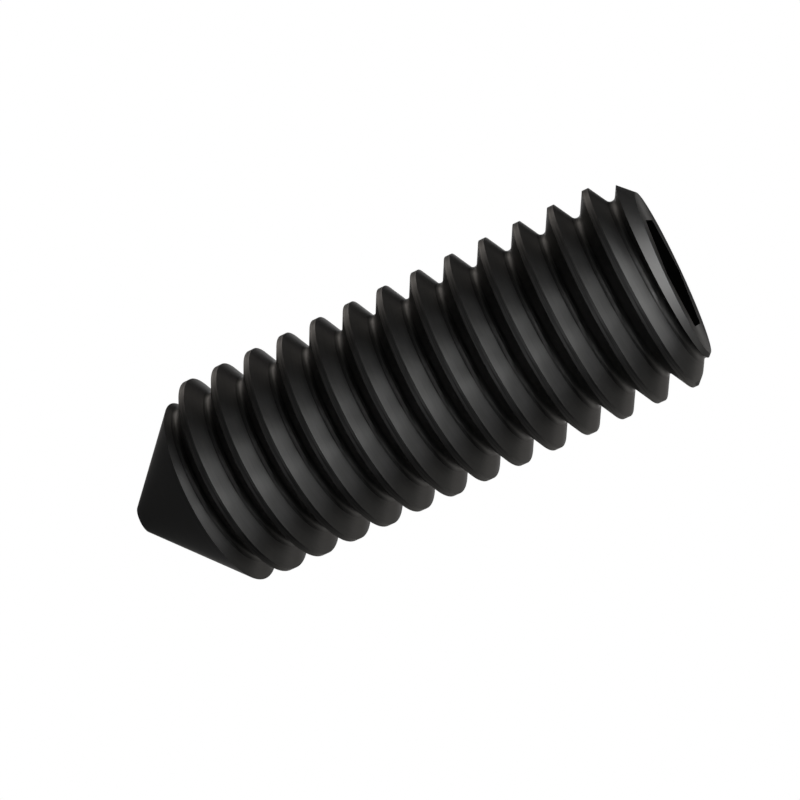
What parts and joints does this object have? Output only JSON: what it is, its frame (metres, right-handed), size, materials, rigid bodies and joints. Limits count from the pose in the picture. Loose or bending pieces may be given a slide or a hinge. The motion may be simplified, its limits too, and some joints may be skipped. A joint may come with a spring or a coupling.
{
  "type": "grub set screw",
  "caption": "Headless set screw with an external thread from end to end, a hexagon socket at one end and a cone point at the other.",
  "frame": {"origin": "centre of the socket end face", "axes": "+Z along the screw's axis, from the socket end up to the cone point; +X square to one flat of the hexagon socket"},
  "size_m": [0.0058, 0.0058, 0.016],
  "materials": {
    "black_oxide_steel": "black oxide, satin"
  },
  "bodies": {
    "root": {"set_screw": "black_oxide_steel"}
  },
  "joints": []
}
